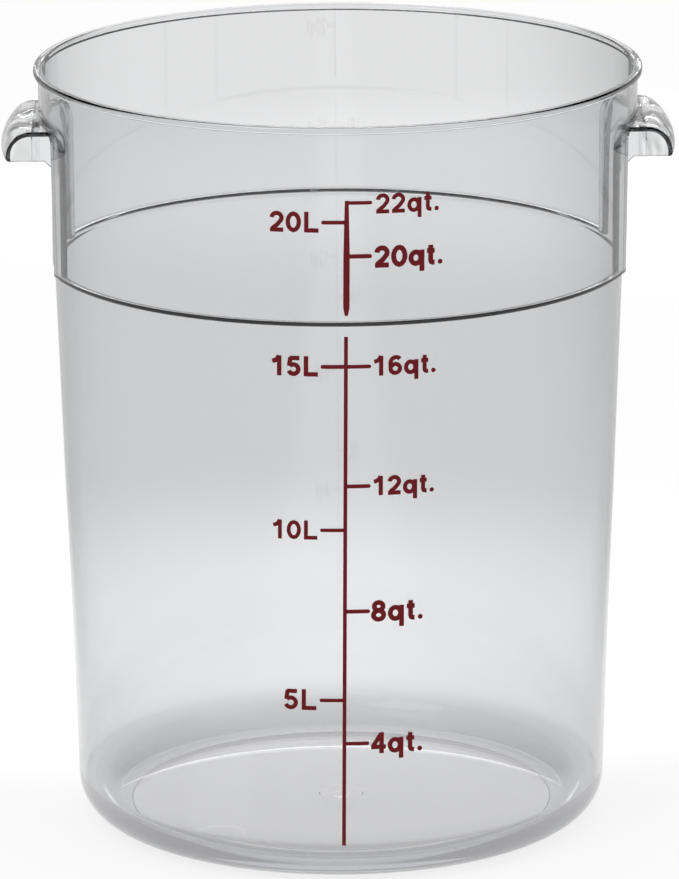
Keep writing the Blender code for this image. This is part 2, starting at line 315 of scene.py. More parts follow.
def collar_radius(tub, height):
    """Outer radius of the collar, which opens by its draft towards the rim."""
    return RIM_RADIUS - tub.lip_overhang - tub.collar_draft * (HEIGHT - height) / (HEIGHT - tub.ledge_height)


def body_radius(tub, height):
    """Outer radius of the tapered lower wall at a height."""
    return tub.body_radius - tub.body_taper * (1 - height / tub.ledge_height)


def wall_radius(tub, height):
    """Outer radius of whichever wall stands at a height."""
    if height > tub.ledge_height:
        return collar_radius(tub, height)
    return body_radius(tub, height)


def arc(centre, radii, start, end, steps):
    """Points of an arc in a plane, its angles counted from the first axis towards the second."""
    angles = [start + (end - start) * step / steps for step in range(steps + 1)]
    return [(centre[0] + radii[0] * cos(a), centre[1] + radii[1] * sin(a)) for a in angles]


def rounded(corner, radius, side, start, end):
    """Rounds a profile's corner; side is the way from the corner to the arc's centre."""
    centre = (corner[0] + side[0] * radius, corner[1] + side[1] * radius)
    return arc(centre, (radius, radius), start, end, EDGE_STEPS)


def foot_arc(tub, inset, floor_height, radius):
    """The curve from the tapered wall round into the floor, tangent to both."""
    lean = atan(tub.body_taper / tub.ledge_height)
    centre_z = floor_height + radius
    centre_x = body_radius(tub, centre_z) - (inset + radius) / cos(lean)
    return arc((centre_x, centre_z), (radius, radius), -lean, DOWN, FOOT_STEPS)


def outer_profile(tub):
    """Outer side of the tub, from the axis at the rim down to the axis under the floor."""
    lip_bottom = HEIGHT - tub.lip_height
    collar_low = collar_radius(tub, tub.ledge_height)
    points = [(0, HEIGHT)]
    points += rounded((RIM_RADIUS, HEIGHT), tub.lip_edge, (-1, -1), UP, OUTWARD)
    points += rounded((RIM_RADIUS, lip_bottom), tub.lip_edge, (-1, 1), OUTWARD, DOWN)
    points += rounded((collar_radius(tub, lip_bottom), lip_bottom), tub.lip_fillet, (1, -1), UP, INWARD)
    points += rounded((collar_low, tub.ledge_height), tub.ledge_edge, (-1, 1), OUTWARD, DOWN)
    points += rounded((tub.body_radius, tub.ledge_height), tub.ledge_fillet, (1, -1), UP, INWARD)
    points += foot_arc(tub, 0, 0, tub.foot_radius)
    return points + underside(tub, points[-1][0] - tub.foot_ring)


def underside(tub, ring_inner):
    """The raised floor inside the foot ring, with the shallow gate well and its stub."""
    floor = tub.floor_height - tub.floor_thickness
    well = floor + GATE_WELL_DEPTH
    stub = well - GATE_STUB_HEIGHT
    points = [(ring_inner, 0)]
    points += rounded((ring_inner, floor), FOOT_RING_EDGE, (-1, -1), OUTWARD, UP)
    points += [(tub.gate_radius, floor), (tub.gate_radius - GATE_WELL_DEPTH, well)]
    return points + [(GATE_STUB_RADIUS, well), (GATE_STUB_RADIUS, stub), (0, stub)]


def cavity_profile(tub):
    """Inner side of the tub, from the axis above the rim down to the middle of the floor."""
    mouth = collar_radius(tub, HEIGHT) - tub.wall
    ledge_top = tub.ledge_height + tub.ledge_thickness
    collar_low = collar_radius(tub, tub.ledge_height) - tub.wall
    points = [(0, HEIGHT + OVERRUN), (mouth + tub.lip_edge, HEIGHT + OVERRUN)]
    points += rounded((mouth, HEIGHT), tub.lip_edge, (1, -1), UP, INWARD)
    points += rounded((collar_low, ledge_top), tub.ledge_root, (-1, 1), OUTWARD, DOWN)
    points += rounded((tub.body_radius - tub.wall, ledge_top), tub.ledge_shoulder, (1, -1), UP, INWARD)
    points += foot_arc(tub, tub.wall, tub.floor_height, tub.foot_radius - tub.wall)
    return points + [(0, tub.floor_height)]


def new_object(name, data):
    """An object of a mesh, a lamp or a camera, in the scene."""
    made = bpy.data.objects.new(name, data)
    bpy.context.scene.collection.objects.link(made)
    return made


def turned(name, profile, closed=False):
    """A profile in the XZ plane, turned about Z by a Screw modifier."""
    last = len(profile) - 1
    edges = [(i, i + 1) for i in range(last)]
    if closed:
        edges.append((last, 0))
    mesh = bpy.data.meshes.new(name)
    mesh.from_pydata([(x, 0, z) for x, z in profile], edges, [])
    made = new_object(name, mesh)
    screw = made.modifiers.new("turn", "SCREW")
    screw.steps = TURN_STEPS
    screw.render_steps = TURN_STEPS
    screw.use_merge_vertices = True
    screw.merge_threshold = WELD
    return made


def solid(name, points, faces):
    """A closed mesh with its faces turned outwards."""
    mesh = bpy.data.meshes.new(name)
    mesh.from_pydata(points, [], faces)
    bm = bmesh.new()
    bm.from_mesh(mesh)
    bmesh.ops.recalc_face_normals(bm, faces=bm.faces)
    bm.to_mesh(mesh)
    bm.free()
    return new_object(name, mesh)


def lofted(name, sections):
    """A closed form through sections of equal counts, each a list of points in space."""
    points = [point for section in sections for point in section]
    count = len(sections[0])
    faces = [tuple(range(count)), tuple(reversed(range(len(points) - count, len(points))))]
    for start in range(0, len(points) - count, count):
        for i in range(count):
            j = (i + 1) % count
            faces.append((start + i, start + count + i, start + count + j, start + j))
    return solid(name, points, faces)


def combine(target, operation, other):
    """Adds a Boolean modifier to the target."""
    step = target.modifiers.new(other.name, "BOOLEAN")
    step.operation = operation
    step.object = other
    step.solver = "MANIFOLD"


def mirror(target):
    """Adds the target's mirror image at -X."""
    step = target.modifiers.new("other_side", "MIRROR")
    step.use_mirror_merge = False


def discard_cutters(target):
    """Deletes the objects that a shape's Booleans use, and those that these use in turn."""
    for step in target.modifiers:
        if step.type == "BOOLEAN":
            discard_cutters(step.object)
            bpy.data.objects.remove(step.object)


def bake(target):
    """Keeps the shape that the modifiers give, its round faces shaded smooth and its flat ones even."""
    shaped = target.evaluated_get(bpy.context.evaluated_depsgraph_get())
    mesh = bpy.data.meshes.new_from_object(shaped)
    mesh.name = target.name
    discard_cutters(target)
    target.modifiers.clear()
    target.data = mesh
    mesh.shade_smooth()
    mesh.set_sharp_from_angle(angle=SHARP_ANGLE)
    even = target.modifiers.new("even_faces", "WEIGHTED_NORMAL")
    even.keep_sharp = True


def tunnel_outline(width, low, top, corner):
    """Upright outline of a recess in Y and Z, its points close enough to follow a round wall."""
    half = width / 2
    side = [(-half, low + (top - corner - low) * i / SIDE_STEPS) for i in range(SIDE_STEPS)]
    left = arc((corner - half, top - corner), (corner, corner), pi, UP, CORNER_STEPS)
    level = [((corner - half) * (1 - 2 * i / TOP_STEPS), top) for i in range(1, TOP_STEPS)]
    right = [(-y, z) for y, z in reversed(side + left)]
    return side + left + level + right


def flare(radius):
    """Places along a rounded edge, each as spread sideways and depth, ending nearly level."""
    turns = [FLARE_END * step / FLARE_STEPS for step in range(FLARE_STEPS + 1)]
    level = radius * (1 - sin(FLARE_END)) + STANDOFF
    return [(radius * (1 - cos(t)), radius * (1 - sin(t)) - level) for t in turns]


def recess_reach(tub, hood, spread):
    """Inner radius of the collar at the hoods' top, and how far the recess stands in from there."""
    rim_side = collar_radius(tub, HOOD_TOP) - tub.wall
    return rim_side, rim_side - tub.body_radius - hood.recess_step + spread


def recess_face(tub, hood, height):
    """Inner radius of a recess's wall, which rounds out to the collar at its top."""
    rim_side, reach = recess_reach(tub, hood, tub.wall)
    rise = min(max(height - HOOD_TOP + hood.recess_brow, 0) / hood.recess_brow, 1)
    return rim_side - reach * sqrt(1 - rise ** 2)


def recess_ring(name, tub, hood, top, spread):
    """A ring outside a recess's wall, which rounds out to the collar at its top."""
    rim_side, reach = recess_reach(tub, hood, spread)
    centre = (rim_side, HOOD_TOP - hood.recess_brow)
    curve = arc(centre, (reach, hood.recess_brow + spread - tub.wall), INWARD, UP, BROW_STEPS)[:-1]
    low = tub.ledge_height - OVERRUN * 2
    corners = [(HOOD_OUTER, top + OVERRUN), (HOOD_OUTER, low), (rim_side - reach, low)]
    return turned(name, corners + curve + [(rim_side, top + OVERRUN)], closed=True)


def recess_bars(name, tub, hood, top, spread, rings):
    """Bars along X at both sides, kept where they lie outside the recess's wall.

    Each ring follows a round wall: a spread of the outline, a distance out, and the radius by height.
    """
    sections = []
    for extra, out, radius_at in rings:
        grown = spread + extra
        outline = tunnel_outline(hood.recess_width + grown * 2, tub.ledge_height - OVERRUN, top + extra,
                                 hood.recess_corner + grown)
        sections.append([(sqrt(radius_at(z) ** 2 - y ** 2) + out, y, z) for y, z in outline])
    inner_end = [(tub.body_radius - RECESS_DEPTH, y, z) for x, y, z in sections[0]]
    outer_end = [(HOOD_OUTER + OVERRUN, y, z) for x, y, z in sections[-1]]
    bars = lofted(name, [inner_end] + sections + [outer_end])
    combine(bars, "INTERSECT", recess_ring(name + "_ring", tub, hood, top, spread))
    mirror(bars)
    return bars


def outer_recess(tub, hood):
    """The cutter of both recesses, with its mouth flared to round their outer edges."""
    rings = [(reach, -depth, lambda z: collar_radius(tub, z)) for reach, depth in flare(hood.recess_edge)]
    return recess_bars("recess", tub, hood, HOOD_TOP - hood.wall, 0, rings)


def inner_recess(tub, hood):
    """What stands into the cavity behind both recesses, its edges rounded."""
    closing = [(-reach, depth, lambda z: recess_face(tub, hood, z))
               for reach, depth in reversed(flare(tub.wall * INNER_EDGE_SHARE))]
    opening = [(reach, -depth, lambda z: collar_radius(tub, z) - tub.wall)
               for reach, depth in flare(tub.wall * OUTER_EDGE_SHARE)]
    return recess_bars("recess_back", tub, hood, HOOD_TOP, tub.wall, closing + opening)


def chord_x(hood, radius):
    """X of a circle about the axis where a hood's end face crosses it, before the hood is bowed."""
    return sqrt(radius ** 2 - (hood.length / 2) ** 2) + hood.bow


def brow(hood, inset):
    """The hood's section from its level plate round to its lip."""
    centre = (HOOD_OUTER - hood.brow, HOOD_TOP - hood.drop + hood.lip_radius)
    return arc(centre, (hood.brow - inset, HOOD_TOP - centre[1] - inset), UP, OUTWARD, BROW_STEPS)


def hood_outline(tub, hood, inset):
    """Section of a whole hood: plate, brow, lip, level foot and the gusset down the wall."""
    recess = tub.body_radius + hood.recess_step
    root = chord_x(hood, recess - tub.wall / 2)
    wall = chord_x(hood, recess)
    foot = HOOD_TOP - hood.drop + inset
    low = foot - hood.gusset_drop
    lip = rounded((HOOD_OUTER - inset, foot), hood.lip_radius - inset, (-1, 1), OUTWARD, DOWN)
    gusset = [(wall + hood.gusset_reach, foot), (wall, low), (root, low)]
    return [(root, HOOD_TOP - inset)] + brow(hood, inset) + lip[1:] + gusset


def hollow_outline(tub, hood):
    """Section of the finger space under a hood, run past its root and its foot."""
    root = chord_x(hood, tub.body_radius + hood.recess_step - tub.wall / 2) - OVERRUN
    curve = brow(hood, hood.wall)
    low = HOOD_TOP - hood.drop - hood.gusset_drop - OVERRUN
    return [(root, HOOD_TOP - hood.wall)] + curve + [(curve[-1][0], low), (root, low)]


def bow(hood, y):
    """How far the hood's front curves back at a place along it."""
    half = hood.length / 2
    radius = (half ** 2 + hood.bow ** 2) / (hood.bow * 2)
    return radius - sqrt(radius ** 2 - y ** 2)


def hood_stations(hood):
    """Places along a hood, each with how far the section draws in there to round the ends."""
    half = hood.length / 2
    turns = [pi / 2 * step / HOOD_END_STEPS for step in range(HOOD_END_STEPS)]
    ends = [(half - hood.end_radius * (1 - cos(t)), hood.end_radius * (1 - sin(t))) for t in turns]
    straight = half - hood.end_radius
    middle = [(straight * (1 - step * 2 / HOOD_STEPS), 0) for step in range(HOOD_STEPS + 1)]
    return ends + middle + [(-y, inset) for y, inset in reversed(ends)]


def bowed(hood, y, outline):
    """A hood's section in space, set back by the bow there."""
    return [(x - bow(hood, y), y, z) for x, z in outline]


def hood_pair(tub, hood):
    """Both hoods, hollow from below; the second is the mirror image of the first."""
    stations = hood_stations(hood)
    hoods = lofted("hoods", [bowed(hood, y, hood_outline(tub, hood, inset)) for y, inset in stations])
    inner = 1 - hood.wall * 2 / hood.length
    inner_places = [y * inner for y, inset in stations if not inset]
    hollow = lofted("finger_space", [bowed(hood, y, hollow_outline(tub, hood)) for y in inner_places])
    combine(hoods, "DIFFERENCE", hollow)
    mirror(hoods)
    return hoods


def round_mark(tub):
    """The cutter of a plain round mould mark under the floor."""
    depth = tub.floor_height - tub.floor_thickness + MARK_DEPTH
    profile = [(0, depth), (MARK_RADIUS, depth), (MARK_RADIUS, -OVERRUN), (0, -OVERRUN)]
    mark = turned("mould_mark", profile)
    mark.location = (*MARK_CENTRE, 0)
    return mark


def tub_body(tub, hood):
    """The moulding: a turned tub, recessed at both sides, joined to its hoods, then hollowed."""
    body = turned("clear_tub", outer_profile(tub))
    combine(body, "DIFFERENCE", outer_recess(tub, hood))
    combine(body, "UNION", hood_pair(tub, hood))
    cavity = turned("cavity", cavity_profile(tub))
    combine(cavity, "DIFFERENCE", inner_recess(tub, hood))
    combine(body, "DIFFERENCE", cavity)
    combine(body, "DIFFERENCE", round_mark(tub))
    bake(body)
    return body


def bend(x, y, half_width, half_height, start, end):
    """A round stretch of a stroke, its angles in degrees."""
    return arc((x, y), (half_width, half_height), radians(start), radians(end), PEN_STEPS)


# Printed characters: how far each moves the pen on, and its strokes, in shares of the digit height
GLYPH_SHARES = {
    "0": (0.80, [bend(0.385, 0.5, 0.265, 0.40, 90, 450)]),
    "1": (0.71, [[(0.04, 0.71), (0.18, 0.745), (0.31, 0.85), (0.37, 1.0)], [(0.385, 1.0), (0.385, 0.0)]]),
    "2": (0.772, [bend(0.36, 0.68, 0.235, 0.225, 178, -28) + [(0.40, 0.36), (0.20, 0.20), (0.14, 0.10)],
                  [(0.04, 0.10), (0.68, 0.10)]]),
    "4": (0.772, [[(0.50, 0.93), (0.12, 0.33)], [(0.04, 0.31), (0.72, 0.31)], [(0.52, 1.0), (0.52, 0.0)]]),
    "5": (0.772, [[(0.66, 0.895), (0.19, 0.895)], [(0.22, 0.93), (0.16, 0.49)],
                  bend(0.365, 0.34, 0.24, 0.235, 140, -160)]),
    "6": (0.772, [bend(0.37, 0.33, 0.235, 0.225, 90, 450),
                  bend(0.40, 0.62, 0.265, 0.275, 42, 180) + [(0.135, 0.40)]]),
    "8": (0.772, [bend(0.37, 0.71, 0.20, 0.185, 90, 450), bend(0.37, 0.305, 0.235, 0.205, 90, 450)]),
    "q": (0.849, [bend(0.36, 0.365, 0.235, 0.27, 90, 450), [(0.645, 0.73), (0.645, -0.27)]]),
    "t": (0.463, [[(0.21, 0.92), (0.21, 0.22), (0.24, 0.13), (0.31, 0.10), (0.40, 0.10)],
                  [(0.03, 0.655), (0.40, 0.655)]]),
    "L": (0.849, [[(0.20, 1.0), (0.20, 0.0)], [(0.20, 0.10), (0.78, 0.10)]]),
    ".": (0.386, []),
}
POINT_PLACE = (0.20, 0.115)
POINT_RADIUS_SHARE = 0.115

# Labels by the printed tick they stand beside: the text, its start from the stem's middle and its baseline
# from the tick, both in metres, then the shares by which its size and its weight differ from the others
MARKS = {
    "quart_tick_22": ("22qt.", 0.0139, -0.0056, 0.98, 0.94),
    "litre_tick_20": ("20L", -0.0129, -0.0050, 1.01, 1.00),
    "quart_tick_20": ("20qt.", 0.0134, -0.0058, 1.05, 1.12),
    "quart_tick_16": ("16qt.", 0.0134, -0.0049, 0.99, 1.00),
    "litre_tick_15": ("15L", -0.0129, -0.0049, 1.00, 1.06),
    "quart_tick_12": ("12qt.", 0.0136, -0.0049, 0.97, 1.03),
    "litre_tick_10": ("10L", -0.0130, -0.0049, 0.96, 0.95),
    "quart_tick_08": ("8qt.", 0.0126, -0.0055, 1.08, 1.06),
    "litre_tick_05": ("5L", -0.0132, -0.0052, 1.06, 0.95),
    "quart_tick_04": ("4qt.", 0.0128, -0.0055, 1.08, 1.00),
}


def pen_stroke(path, width):
    """Outline pairs beside a path, mitred at its bends, and whether the path is closed."""
    pairs = []
    points = [Vector(p) for p in path]
    closed = (points[0] - points[-1]).length < WELD
    for i, point in enumerate(points):
        before = points[i - 1] if i else (points[-2] if closed else point)
        after = points[i + 1] if i < len(points) - 1 else (points[1] if closed else point)
        into = (point - before).normalized() if point != before else (after - point).normalized()
        out = (after - point).normalized() if after != point else into
        side = (into + out).normalized()
        normal = Vector((-side.y, side.x)) * (width / 2 / max(side.dot(into), MITRE_LIMIT))
        pairs.append((point + normal, point - normal))
    return pairs, closed


def stroke_solid(name, pairs, closed):
    """A flat solid of one stroke, from depth 0 to depth 1."""
    count = len(pairs) - 1 if closed else len(pairs)
    points = []
    for left, right in pairs[:count]:
        points += [(*left, 0), (*right, 0), (*right, 1), (*left, 1)]
    faces = []
    for i in range(count if closed else count - 1):
        j = (i + 1) % count
        for k in range(4):
            m = (k + 1) % 4
            faces.append((4 * i + k, 4 * i + m, 4 * j + m, 4 * j + k))
    if not closed:
        faces += [(3, 2, 1, 0), tuple(4 * (count - 1) + k for k in range(4))]
    return solid(name, points, faces)


def disc_pairs(place, radius):
    """Outline pairs of a round point."""
    turns = [pi * (step + 0.5) / PEN_STEPS for step in range(PEN_STEPS)]
    stations = [(place[0] - radius * cos(t), radius * sin(t)) for t in turns]
    return [(Vector((x, place[1] + y)), Vector((x, place[1] - y))) for x, y in stations]


def text_strokes(text, size, stroke):
    """Outline pairs of a text's strokes in metres, from its left end on its baseline, and its length."""
    at = 0
    strokes = []
    for letter in text:
        advance, paths = GLYPH_SHARES[letter]
        for path in paths:
            strokes.append(pen_stroke([((x + at) * size, y * size) for x, y in path], stroke * size))
        if letter == ".":
            place = ((POINT_PLACE[0] + at) * size, POINT_PLACE[1] * size)
            strokes.append((disc_pairs(place, POINT_RADIUS_SHARE * size), False))
        at += advance
    return strokes, at * size


def tick_strokes(side, reach, width):
    """Outline pairs of a tick from the stem's middle, with a round tip."""
    half = width / 2
    places = [(reach - half) * step / TICK_STEPS for step in range(TICK_STEPS)]
    stations = [(x, half) for x in places]
    turns = [pi / 2 * (step + 0.5) / TIP_STEPS for step in range(TIP_STEPS)]
    stations += [(reach - half + half * sin(t), half * cos(t)) for t in turns]
    return [([(Vector((side * x, w)), Vector((side * x, -w))) for x, w in stations], False)]


def stem_pairs(low, high, half_widths, tip):
    """Outline pairs of an upright line; half_widths are spread evenly, and tip narrows its lower end."""
    last = len(half_widths) - 1
    start = low + tip
    pairs = [(-half_widths[0] / 2, low)] if tip else []
    pairs.append((-half_widths[0], start))
    pairs += [(-w, start + (high - start) * (i + 1) / last) for i, w in enumerate(half_widths[1:])]
    return [(Vector((w, z)), Vector((-w, z))) for w, z in pairs]


def attach(piece, material_name):
    """A piece's material and body."""
    piece.data.materials.clear()
    piece.data.materials.append(bpy.data.materials[material_name])
    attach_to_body(piece, "root")


def moved(strokes, across, up):
    """Strokes shifted round the wall and up it."""
    shift = Vector((across, up))
    return [([(left + shift, right + shift) for left, right in pairs], closed) for pairs, closed in strokes]


def printed(name, strokes, tub, ink):
    """A piece in ink: its strokes united, then wrapped on the wall with the print's lean."""
    solids = [stroke_solid(name, pairs, closed) for pairs, closed in strokes]
    made = solids[0]
    for other in solids[1:]:
        combine(made, "UNION", other)
    bake(made)
    for vertex in made.data.vertices:
        along, height, depth = vertex.co
        reach = wall_radius(tub, height) + ink.ink_gap + depth * ink.ink_thickness
        turn = (along + sin(ink.lean) * (height - ink.lean_from)) / reach
        vertex.co = (reach * sin(turn), -reach * cos(turn), height)
    attach(made, "printing_ink")
    return made


def feed(tree, value, socket):
    """Links a socket to another node's output, or gives it a plain value."""
    if isinstance(value, bpy.types.NodeSocket):
        tree.links.new(value, socket)
    else:
        socket.default_value = value


def fed_node(tree, kind, **values):
    """A node with its named inputs linked or set; an underscore in a name stands for a space."""
    node = tree.nodes.new(kind)
    for name, value in values.items():
        feed(tree, value, node.inputs[name.replace("_", " ")])
    return node


def calculated(tree, operation, *values):
    """A Math node's result."""
    node = tree.nodes.new("ShaderNodeMath")
    node.operation = operation
    for value, socket in zip(values, node.inputs):
        feed(tree, value, socket)
    return node.outputs[0]


def ramp(tree, value, start, end, low=0.0, high=1.0, kind="SMOOTHSTEP"):
    """A value that runs from low at start to high at end."""
    node = fed_node(tree, "ShaderNodeMapRange", Value=value, From_Min=start, From_Max=end, To_Min=low,
                    To_Max=high)
    node.interpolation_type = kind
    return node.outputs["Result"]


def blend(tree, factor, one, other, kind="MIX"):
    """Two colours mixed or multiplied by a factor."""
    node = tree.nodes.new("ShaderNodeMix")
    node.data_type = "RGBA"
    node.blend_type = kind
    for name, value in (("Factor", factor), ("A", one), ("B", other)):
        feed(tree, value, node.inputs[name])
    return node.outputs["Result"]


def noise(tree, place, scale, detail, distortion=0.0):
    """A noise texture's value."""
    node = fed_node(tree, "ShaderNodeTexNoise", Vector=place, Scale=scale, Detail=detail,
                    Distortion=distortion)
    return node.outputs["Fac"]


def object_place(tree):
    """The place on the object."""
    return tree.nodes.new("ShaderNodeTexCoord").outputs["Object"]


def mapped(tree, place, **values):
    """A place turned, shifted or stretched."""
    return fed_node(tree, "ShaderNodeMapping", Vector=place, **values).outputs["Vector"]


def light_path(tree, name):
    """One of the Light Path node's values."""
    return tree.nodes.new("ShaderNodeLightPath").outputs[name]


def parts(tree, vector):
    """A vector's X, Y and Z."""
    return fed_node(tree, "ShaderNodeSeparateXYZ", Vector=vector).outputs


def size_of(tree, vector):
    """A vector's length."""
    node = tree.nodes.new("ShaderNodeVectorMath")
    node.operation = "LENGTH"
    tree.links.new(vector, node.inputs[0])
    return node.outputs["Value"]


def new_group(name, inputs, output):
    """An empty node group that takes and gives numbers, with its inputs and its output from inside."""
    group = bpy.data.node_groups.new(name, "ShaderNodeTree")
    for socket in inputs:
        group.interface.new_socket(socket, in_out="INPUT", socket_type="NodeSocketFloat")
    group.interface.new_socket(output, in_out="OUTPUT", socket_type="NodeSocketFloat")
    entry = group.nodes.new("NodeGroupInput")
    leave = group.nodes.new("NodeGroupOutput")
    return group, entry.outputs, leave.inputs[output]


def fine_scuffs():
    """Hairline scuffs in two directions, as a mask."""
    group, given, mask = new_group("fine_scuffs", ("Scale", "Amount"), "Mask")
    place = object_place(group)
    masks = []
    for turn, thinness in SCUFF_LAYERS:
        along = mapped(group, place, Rotation=(turn, turn / 3, turn / 2), Scale=(1.0, 1.0, thinness))
        lines = noise(group, along, given["Scale"], SCUFF_DETAIL)
        masks.append(ramp(group, lines, *SCUFF_BAND, kind="LINEAR"))
    both = calculated(group, "MAXIMUM", *masks)
    group.links.new(calculated(group, "MULTIPLY", both, given["Amount"]), mask)


def mould_waves():
    """Long shallow waves of a moulded surface, as a height; they fade in away from the middle of the tub."""
    group, given, height = new_group("mould_waves", ("Scale", "From"), "Height")
    place = object_place(group)
    stretched = mapped(group, place, Scale=WAVE_STRETCH)
    waves = noise(group, stretched, given["Scale"], WAVE_DETAIL, WAVE_DISTORTION)
    aside = calculated(group, "ABSOLUTE", parts(group, place)["X"])
    full = calculated(group, "ADD", given["From"], WAVE_FADE)
    fade = ramp(group, aside, given["From"], full, kind="LINEAR")
    group.links.new(calculated(group, "MULTIPLY", waves, fade), height)


def place_group(tree, name, **values):
    """A group node in a material, with its own values."""
    node = tree.nodes.new("ShaderNodeGroup")
    node.node_tree = bpy.data.node_groups[name]
    for socket, value in values.items():
        node.inputs[socket].default_value = value
    return node.outputs[0]


def new_material(name, base, roughness):
    """A material and its Principled shader, in a plain colour."""
    made = bpy.data.materials.new(name)
    made.use_nodes = True
    shader = made.node_tree.nodes["Principled BSDF"]
    shader.inputs["Base Color"].default_value = (*base, 1)
    shader.inputs["Roughness"].default_value = roughness
    return made, shader


def tinted(colour_value, tone):
    """A colour made lighter or darker by a share, as a socket takes it."""
    return (*(c * tone for c in colour_value), 1)


def painted_edge_shade(tree, finish):
    """The tint with painted shade: deeper where the plastic is seen edge on."""
    facing = tree.nodes.new("ShaderNodeLayerWeight").outputs["Facing"]
    edge = ramp(tree, facing, *EDGE_SHADE_BAND)
    return blend(tree, edge, tinted(finish.tint, 1), tinted(finish.tint, finish.painted_edge_shade))


def foot_shade(tree, tone):
    """Painted shade: a tone made deeper in the thick foot, outside the floor."""
    place = parts(tree, object_place(tree))
    level = fed_node(tree, "ShaderNodeCombineXYZ", X=place["X"], Y=place["Y"]).outputs["Vector"]
    outward = ramp(tree, size_of(tree, level), *FOOT_SHADE_OUTWARD)
    down = ramp(tree, place["Z"], *FOOT_SHADE_DOWN)
    deeper = (FOOT_SHADE_TONE, FOOT_SHADE_TONE, FOOT_SHADE_TONE, 1)
    return blend(tree, calculated(tree, "MULTIPLY", outward, down), tone, deeper, "MULTIPLY")


def foot_light(tree):
    """Pale light in the thick foot, for rays that reflect there too often to find their way out."""
    place = parts(tree, object_place(tree))
    trapped = calculated(tree, "GREATER_THAN", light_path(tree, "Glossy Depth"), DEEP_REFLECTIONS)
    low = ramp(tree, place["Z"], *FOOT_LIGHT_BAND, kind="LINEAR")
    near_foot = calculated(tree, "MULTIPLY", trapped, low)
    behind_wall = calculated(tree, "GREATER_THAN", light_path(tree, "Ray Depth"), FAR_FOOT_DEPTH)
    below_floor = calculated(tree, "LESS_THAN", place["Z"], FAR_FOOT_TOP)
    far_foot = calculated(tree, "MULTIPLY", below_floor, behind_wall)
    behind = ramp(tree, place["Y"], -FOOT_LIGHT_REACH, FOOT_LIGHT_REACH, kind="LINEAR")
    pale = blend(tree, behind, (*FOOT_LIGHT, 1), (*BACK_FOOT_LIGHT, 1))
    return blend(tree, calculated(tree, "MAXIMUM", near_foot, far_foot), (0, 0, 0, 1), pale)


def clear_polycarbonate(finish):
    """Clear moulded polycarbonate, with a faint tint, long mould waves and fine scuffs."""
    made, shader = new_material("tub_plastic", finish.tint, finish.gloss)
    tree = made.node_tree
    shader.inputs["IOR"].default_value = POLYCARBONATE_IOR
    shader.inputs["Transmission Weight"].default_value = 1.0
    scuffs = place_group(tree, "fine_scuffs", Scale=SCUFF_SCALE, Amount=finish.scuffs)
    feed(tree, calculated(tree, "ADD", scuffs, finish.gloss), shader.inputs["Roughness"])
    waves = place_group(tree, "mould_waves", Scale=finish.wave_scale, From=WAVES_FROM)
    bump = fed_node(tree, "ShaderNodeBump", Distance=finish.wave_depth, Height=waves)
    feed(tree, bump.outputs["Normal"], shader.inputs["Normal"])
    # Base colour: the tint with painted shade where the plastic is seen edge on and in the thick foot
    feed(tree, foot_shade(tree, painted_edge_shade(tree, finish)), shader.inputs["Base Color"])
    feed(tree, foot_light(tree), shader.inputs["Emission Color"])
    shader.inputs["Emission Strength"].default_value = 1.0
    made.cycles.emission_sampling = "NONE"
    depth = fed_node(tree, "ShaderNodeVolumeAbsorption", Color=(*finish.depth_colour, 1),
                     Density=finish.depth_density)
    tree.links.new(depth.outputs["Volume"], tree.nodes["Material Output"].inputs["Volume"])


def scale_ink(finish):
    """Dark red screen-printing ink, a little uneven."""
    made, shader = new_material("printing_ink", finish.ink, INK_ROUGHNESS)
    shader.inputs["Specular IOR Level"].default_value = INK_SPECULAR
    tree = made.node_tree
    grain = noise(tree, object_place(tree), INK_GRAIN, INK_DETAIL)
    shade = blend(tree, grain, *(tinted(finish.ink, tone) for tone in INK_SHADES))
    feed(tree, shade, shader.inputs["Base Color"])


def seen_rays(tree):
    """One where a ray comes from the camera, a reflection or a refraction."""
    seen = light_path(tree, "Is Camera Ray")
    for name in ("Is Glossy Ray", "Is Transmission Ray"):
        seen = calculated(tree, "MAXIMUM", seen, light_path(tree, name))
    return seen


def side_shade(tree, across, near, far):
    """One in the middle and SIDE_TONE far to either side, for reflections only."""
    aside = ramp(tree, calculated(tree, "ABSOLUTE", across), near, far, high=1 - SIDE_TONE)
    reflected = calculated(tree, "MULTIPLY", aside, light_path(tree, "Is Glossy Ray"))
    return calculated(tree, "SUBTRACT", 1.0, reflected)


def light_pool(tree, place, centre, radii, core, strength):
    """A soft oval pool of light: full inside its core share and gone at its radii."""
    middle = [-c / r for c, r in zip(centre, radii)]
    away = mapped(tree, place, Location=middle, Scale=[1 / r for r in radii])
    return ramp(tree, size_of(tree, away), core, 1.0, strength, 0.0)


def floor_glow(tree):
    """Strength of the floor's own light: even, with soft pools behind the object and far off."""
    place = object_place(tree)
    glow = FLOOR_GLOW
    for pool in FLOOR_POOLS:
        glow = calculated(tree, "ADD", light_pool(tree, place, *pool), glow)
    return calculated(tree, "MULTIPLY", glow, side_shade(tree, parts(tree, place)["X"], *SIDE_ON_FLOOR))


def floor_material(stage):
    """Pale floor that reads as white and keeps the object's shadow."""
    made = bpy.data.materials.new("pale_floor")
    made.use_nodes = True
    tree = made.node_tree
    tree.nodes.remove(tree.nodes["Principled BSDF"])
    matt = fed_node(tree, "ShaderNodeBsdfDiffuse", Color=(*stage.floor, 1))
    glow = calculated(tree, "MULTIPLY", seen_rays(tree), floor_glow(tree))
    emission = fed_node(tree, "ShaderNodeEmission", Strength=glow)
    both = tree.nodes.new("ShaderNodeAddShader")
    tree.links.new(matt.outputs[0], both.inputs[0])
    tree.links.new(emission.outputs[0], both.inputs[1])
    tree.links.new(both.outputs[0], tree.nodes["Material Output"].inputs["Surface"])
    return made


